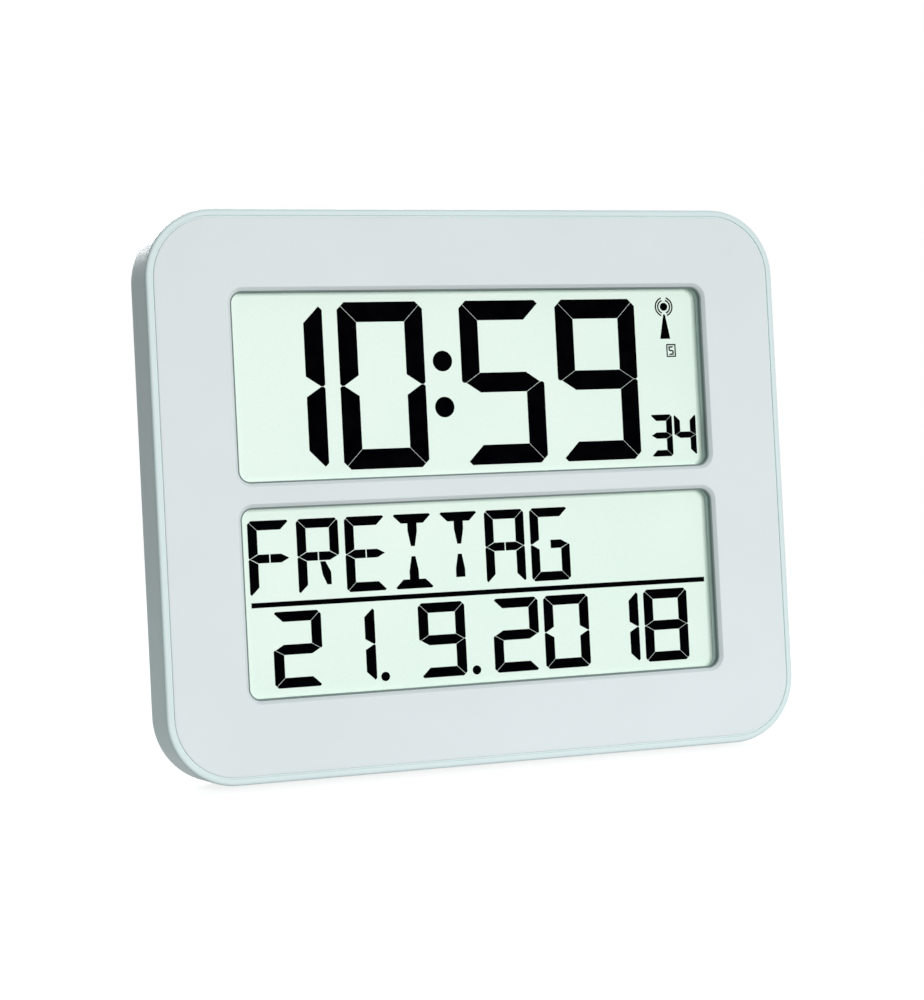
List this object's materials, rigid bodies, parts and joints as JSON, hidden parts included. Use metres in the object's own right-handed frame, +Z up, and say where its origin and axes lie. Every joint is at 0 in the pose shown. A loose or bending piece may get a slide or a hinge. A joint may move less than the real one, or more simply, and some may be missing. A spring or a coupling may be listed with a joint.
{
  "type": "digital wall and desk clock",
  "caption": "Flat rounded-corner digital clock with two wide display windows, leaning back on a fold-out rear stand, with battery door, rear buttons and wall hangers.",
  "frame": {"origin": "middle of the footprint of the whole clock, on the surface it stands on", "axes": "+Z up, +X to the right seen from the front, +Y from the display towards the back; the case leans back 7.84 degrees on its open stand"},
  "size_m": [0.258, 0.0814, 0.2128],
  "materials": {
    "case_plastic": "fine satin moulded plastic, pale cool grey",
    "display_glass": "matt polariser over a pale green-grey cell",
    "reflector_film": "silvered film",
    "carrier_plastic": "plain dark moulded plastic",
    "gasket_rubber": "soft grey sealing rubber with a matt skin",
    "elastomer": "layered conductive rubber",
    "board_laminate": "green solder mask",
    "chip_resin": "black epoxy",
    "ferrite": "sintered ferrite",
    "copper_wire": "enamelled copper",
    "plated_steel": "nickel plated",
    "cell_jacket": "plain printed sleeve",
    "red_insulation": "soft sleeve",
    "black_insulation": "soft sleeve"
  },
  "bodies": {
    "case": {"front_frame": "case_plastic", "front_panel": "case_plastic", "rear_cover": "case_plastic", "time_gasket": "gasket_rubber", "calendar_gasket": "gasket_rubber", "time_lcd": "display_glass", "calendar_lcd": "display_glass", "time_reflector": "reflector_film", "calendar_reflector": "reflector_film", "lcd_carrier": "carrier_plastic", "time_connector_strip": "elastomer", "calendar_connector_strip": "elastomer", "main_board": "board_laminate", "controller_chip": "chip_resin", "clock_crystal": "plated_steel", "board_capacitors": "chip_resin", "chip_resistors": "chip_resin", "tact_switches": "chip_resin", "receiver_board": "board_laminate", "receiver_chip": "chip_resin", "antenna_rod": "ferrite", "antenna_coil": "copper_wire", "antenna_clips": "carrier_plastic", "buzzer": "chip_resin", "battery_cells": "cell_jacket", "positive_contact": "plated_steel", "negative_contact": "plated_steel", "link_contact": "plated_steel", "contact_springs": "plated_steel", "case_screws": "plated_steel", "carrier_screws": "plated_steel", "board_screws": "plated_steel", "receiver_screws": "plated_steel", "stand_pin": "plated_steel", "battery_lead_red": "red_insulation", "battery_lead_black": "black_insulation", "antenna_leads": "black_insulation", "receiver_leads": "black_insulation", "buzzer_leads": "black_insulation"},
    "stand": {"stand_leg": "case_plastic", "stand_pad": "elastomer"},
    "battery_door": {"battery_door": "case_plastic"},
    "set_button": {"set_button": "case_plastic"},
    "plus_button": {"plus_button": "case_plastic"},
    "minus_button": {"minus_button": "case_plastic"},
    "alarm_button": {"alarm_button": "case_plastic"}
  },
  "joints": [
    {"name": "stand_hinge", "type": "hinge", "parent": "case", "child": "stand", "pos_m": [0, -0.00895, 0.03691], "axis": [0, 0.1364, 0.9907], "range_deg": [-90, 0]},
    {"name": "battery_door_slide", "type": "slide", "parent": "case", "child": "battery_door", "axis": [0, 0.1364, 0.9907], "range_m": [0, 0.045]},
    {"name": "set_button_press", "type": "slide", "parent": "case", "child": "set_button", "axis": [0, -0.9907, 0.1364], "range_m": [0, 0.0008], "stiffness_N_per_m": 1500, "springref_m": -0.0004},
    {"name": "plus_button_press", "type": "slide", "parent": "case", "child": "plus_button", "axis": [0, -0.9907, 0.1364], "range_m": [0, 0.0008], "stiffness_N_per_m": 1500, "springref_m": -0.0004},
    {"name": "minus_button_press", "type": "slide", "parent": "case", "child": "minus_button", "axis": [0, -0.9907, 0.1364], "range_m": [0, 0.0008], "stiffness_N_per_m": 1500, "springref_m": -0.0004},
    {"name": "alarm_button_press", "type": "slide", "parent": "case", "child": "alarm_button", "axis": [0, -0.9907, 0.1364], "range_m": [0, 0.0008], "stiffness_N_per_m": 1500, "springref_m": -0.0004}
  ]
}
